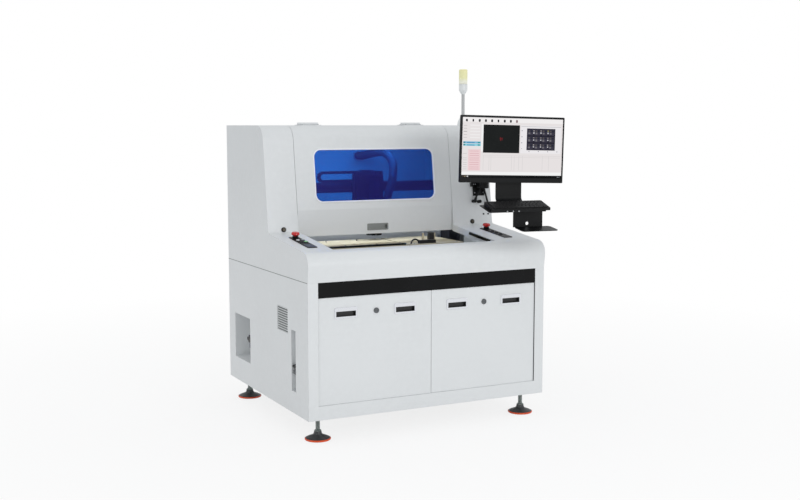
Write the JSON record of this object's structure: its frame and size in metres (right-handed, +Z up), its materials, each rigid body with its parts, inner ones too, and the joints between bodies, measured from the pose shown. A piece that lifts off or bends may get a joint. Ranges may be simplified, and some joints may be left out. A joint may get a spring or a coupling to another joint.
{
  "type": "pcb depaneling machine",
  "caption": "Free-standing routing machine that cuts circuit boards out of panels, with a lift-up windowed cover, sliding tables, gantry spindle, and a monitor on an arm.",
  "frame": {"origin": "on the floor, under the middle of the overall box of the machine with its monitor and dust port", "axes": "+X to the operator's right, +Y from the front of the cabinet to its rear, +Z up"},
  "size_m": [1.3154, 1.2705, 1.722],
  "materials": {
    "housing_paint": "fine satin powder coat",
    "frame_paint": "satin grey paint",
    "strip_gloss": "polished black",
    "bed_steel": "ground plate",
    "gantry_dark": "satin dark paint",
    "tower_white": "moulded",
    "lens_yellow": "ribbed translucent moulding",
    "arm_black": "fine black powder coat",
    "panel_black": "satin",
    "curtain_black": "smoked window",
    "chain_black": "moulded links",
    "hose_grey": "ribbed hose",
    "air_metal": "cast body",
    "window_blue": "tinted acrylic",
    "bright_steel": "brushed",
    "spindle_dark": "dark anodised",
    "brush_black": "bristle skirt",
    "table_dark": "black anodised",
    "fixture_beige": "laminate sheet",
    "chrome_trim": "polished",
    "screen_glass": "lit display",
    "stop_red": "moulded",
    "button_white": "moulded",
    "button_grey": "moulded",
    "button_green": "moulded",
    "foot_iron": "painted foot"
  },
  "bodies": {
    "machine": {"base_frame": "frame_paint", "cabinet_panels": "housing_paint", "front_fascia": "housing_paint", "vent_grilles": "housing_paint", "side_recesses": "housing_paint", "upper_shell": "housing_paint", "rear_hatch": "housing_paint", "trim_strip": "strip_gloss", "hinge_brackets": "housing_paint", "machine_bed": "bed_steel", "gantry_frame": "gantry_dark", "signal_tower": "tower_white", "tower_lens": "lens_yellow", "arm_bracket": "arm_black", "control_plates": "panel_black", "light_curtains": "curtain_black", "cable_chain": "chain_black", "dust_hose": "hose_grey", "air_regulator": "air_metal"},
    "cover": {"cover_shell": "housing_paint", "cover_window": "window_blue", "cover_grip": "bright_steel"},
    "carriage": {"x_carriage": "gantry_dark"},
    "head": {"spindle_head": "spindle_dark", "dust_brush": "brush_black"},
    "cutter": {"cutter": "bright_steel"},
    "left_table": {"left_table": "table_dark", "left_fixture": "fixture_beige"},
    "right_table": {"right_table": "table_dark", "right_fixture": "fixture_beige"},
    "left_door": {"left_door": "housing_paint", "left_handles": "chrome_trim"},
    "right_door": {"right_door": "housing_paint", "right_handles": "chrome_trim"},
    "left_lock": {"left_lock": "chrome_trim"},
    "right_lock": {"right_lock": "chrome_trim"},
    "arm_link_1": {"arm_link_1": "arm_black"},
    "arm_link_2": {"arm_link_2": "arm_black"},
    "neck": {"monitor_neck": "arm_black"},
    "monitor": {"monitor_case": "panel_black", "monitor_screen": "screen_glass"},
    "tray": {"keyboard_tray": "arm_black", "keyboard": "panel_black", "mouse_shelf": "arm_black"},
    "regulator_knob": {"regulator_knob": "panel_black"},
    "left_start_button": {"left_start_button": "bright_steel"},
    "right_start_button": {"right_start_button": "bright_steel"},
    "left_estop": {"left_estop": "stop_red"},
    "right_estop": {"right_estop": "stop_red"},
    "left_button_1": {"left_button_1": "button_white"},
    "left_button_2": {"left_button_2": "button_grey"},
    "left_button_3": {"left_button_3": "panel_black"},
    "left_button_4": {"left_button_4": "button_green"},
    "right_button_1": {"right_button_1": "panel_black"},
    "right_button_2": {"right_button_2": "panel_black"},
    "right_button_3": {"right_button_3": "panel_black"},
    "foot_front_left": {"foot_front_left": "foot_iron"},
    "foot_front_right": {"foot_front_right": "foot_iron"},
    "foot_rear_left": {"foot_rear_left": "foot_iron"},
    "foot_rear_right": {"foot_rear_right": "foot_iron"}
  },
  "joints": [
    {"name": "cover_hinge", "type": "hinge", "parent": "machine", "child": "cover", "pos_m": [-0.07008, 0.22075, 1.4335], "axis": [-1, 0, 0], "range_deg": [0, 75]},
    {"name": "x_slide", "type": "slide", "parent": "machine", "child": "carriage", "axis": [1, 0, 0], "range_m": [-0.28, 0.28], "deforming": ["cable_chain", "dust_hose"]},
    {"name": "z_slide", "type": "slide", "parent": "carriage", "child": "head", "axis": [0, 0, 1], "range_m": [-0.018, 0.05]},
    {"name": "cutter_spin", "type": "hinge", "parent": "head", "child": "cutter", "pos_m": [-0.01008, 0.18475, 0.9], "axis": [0, 0, 1], "continuous": true},
    {"name": "left_table_slide", "type": "slide", "parent": "machine", "child": "left_table", "axis": [0, 1, 0], "range_m": [-0.25, 0.1]},
    {"name": "right_table_slide", "type": "slide", "parent": "machine", "child": "right_table", "axis": [0, 1, 0], "range_m": [-0.25, 0.1]},
    {"name": "left_door_pull", "type": "slide", "parent": "machine", "child": "left_door", "axis": [0, -1, 0], "range_m": [0, 0.25]},
    {"name": "right_door_pull", "type": "slide", "parent": "machine", "child": "right_door", "axis": [0, -1, 0], "range_m": [0, 0.25]},
    {"name": "left_lock_turn", "type": "hinge", "parent": "left_door", "child": "left_lock", "pos_m": [-0.31608, -0.47325, 0.588], "axis": [0, -1, 0], "range_deg": [0, 90]},
    {"name": "right_lock_turn", "type": "hinge", "parent": "right_door", "child": "right_lock", "pos_m": [0.25592, -0.47325, 0.588], "axis": [0, 1, 0], "range_deg": [0, 90]},
    {"name": "arm_swivel_1", "type": "hinge", "parent": "machine", "child": "arm_link_1", "pos_m": [0.52092, -0.03225, 1.1303], "axis": [0, 0, 1], "range_deg": [-12, 50]},
    {"name": "arm_swivel_2", "type": "hinge", "parent": "arm_link_1", "child": "arm_link_2", "pos_m": [0.56712, -0.26776, 1.1303], "axis": [0, 0, 1], "range_deg": [-20, 50]},
    {"name": "neck_swivel", "type": "hinge", "parent": "arm_link_2", "child": "neck", "pos_m": [0.39624, -0.43628, 1.1303], "axis": [0, 0, 1], "range_deg": [-25, 25]},
    {"name": "monitor_tilt", "type": "hinge", "parent": "neck", "child": "monitor", "pos_m": [0.39112, -0.47797, 1.312], "axis": [-0.9925, 0.1219, 0], "range_deg": [-5, 15]},
    {"name": "tray_tilt", "type": "hinge", "parent": "neck", "child": "tray", "pos_m": [0.38892, -0.49583, 1.062], "axis": [-0.9925, 0.1219, 0], "range_deg": [-10, 10]},
    {"name": "knob_turn", "type": "hinge", "parent": "machine", "child": "regulator_knob", "pos_m": [-0.60908, 0.35275, 0.356], "axis": [0, 0, 1], "range_deg": [-150, 150]},
    {"name": "left_start_press", "type": "slide", "parent": "machine", "child": "left_start_button", "axis": [0, 0.9912, -0.1323], "range_m": [0, 0.0025], "stiffness_N_per_m": 400},
    {"name": "right_start_press", "type": "slide", "parent": "machine", "child": "right_start_button", "axis": [0, 0.9912, -0.1323], "range_m": [0, 0.0025], "stiffness_N_per_m": 400},
    {"name": "left_estop_press", "type": "slide", "parent": "machine", "child": "left_estop", "axis": [0, 0.108, -0.9942], "range_m": [0, 0.004]},
    {"name": "right_estop_press", "type": "slide", "parent": "machine", "child": "right_estop", "axis": [0, 0.108, -0.9942], "range_m": [0, 0.004]},
    {"name": "left_button_1_press", "type": "slide", "parent": "machine", "child": "left_button_1", "axis": [0, 0.108, -0.9942], "range_m": [0, 0.0025], "stiffness_N_per_m": 400},
    {"name": "left_button_2_press", "type": "slide", "parent": "machine", "child": "left_button_2", "axis": [0, 0.108, -0.9942], "range_m": [0, 0.0025], "stiffness_N_per_m": 400},
    {"name": "left_button_3_press", "type": "slide", "parent": "machine", "child": "left_button_3", "axis": [0, 0.108, -0.9942], "range_m": [0, 0.0025], "stiffness_N_per_m": 400},
    {"name": "left_button_4_press", "type": "slide", "parent": "machine", "child": "left_button_4", "axis": [0, 0.108, -0.9942], "range_m": [0, 0.0025], "stiffness_N_per_m": 400},
    {"name": "right_button_1_press", "type": "slide", "parent": "machine", "child": "right_button_1", "axis": [0, 0.108, -0.9942], "range_m": [0, 0.0025], "stiffness_N_per_m": 400},
    {"name": "right_button_2_press", "type": "slide", "parent": "machine", "child": "right_button_2", "axis": [0, 0.108, -0.9942], "range_m": [0, 0.0025], "stiffness_N_per_m": 400},
    {"name": "right_button_3_press", "type": "slide", "parent": "machine", "child": "right_button_3", "axis": [0, 0.108, -0.9942], "range_m": [0, 0.0025], "stiffness_N_per_m": 400},
    {"name": "level_front_left", "type": "slide", "parent": "machine", "child": "foot_front_left", "axis": [0, 0, 1], "range_m": [-0.015, 0.015]},
    {"name": "level_front_right", "type": "slide", "parent": "machine", "child": "foot_front_right", "axis": [0, 0, 1], "range_m": [-0.015, 0.015]},
    {"name": "level_rear_left", "type": "slide", "parent": "machine", "child": "foot_rear_left", "axis": [0, 0, 1], "range_m": [-0.015, 0.015]},
    {"name": "level_rear_right", "type": "slide", "parent": "machine", "child": "foot_rear_right", "axis": [0, 0, 1], "range_m": [-0.015, 0.015]}
  ]
}
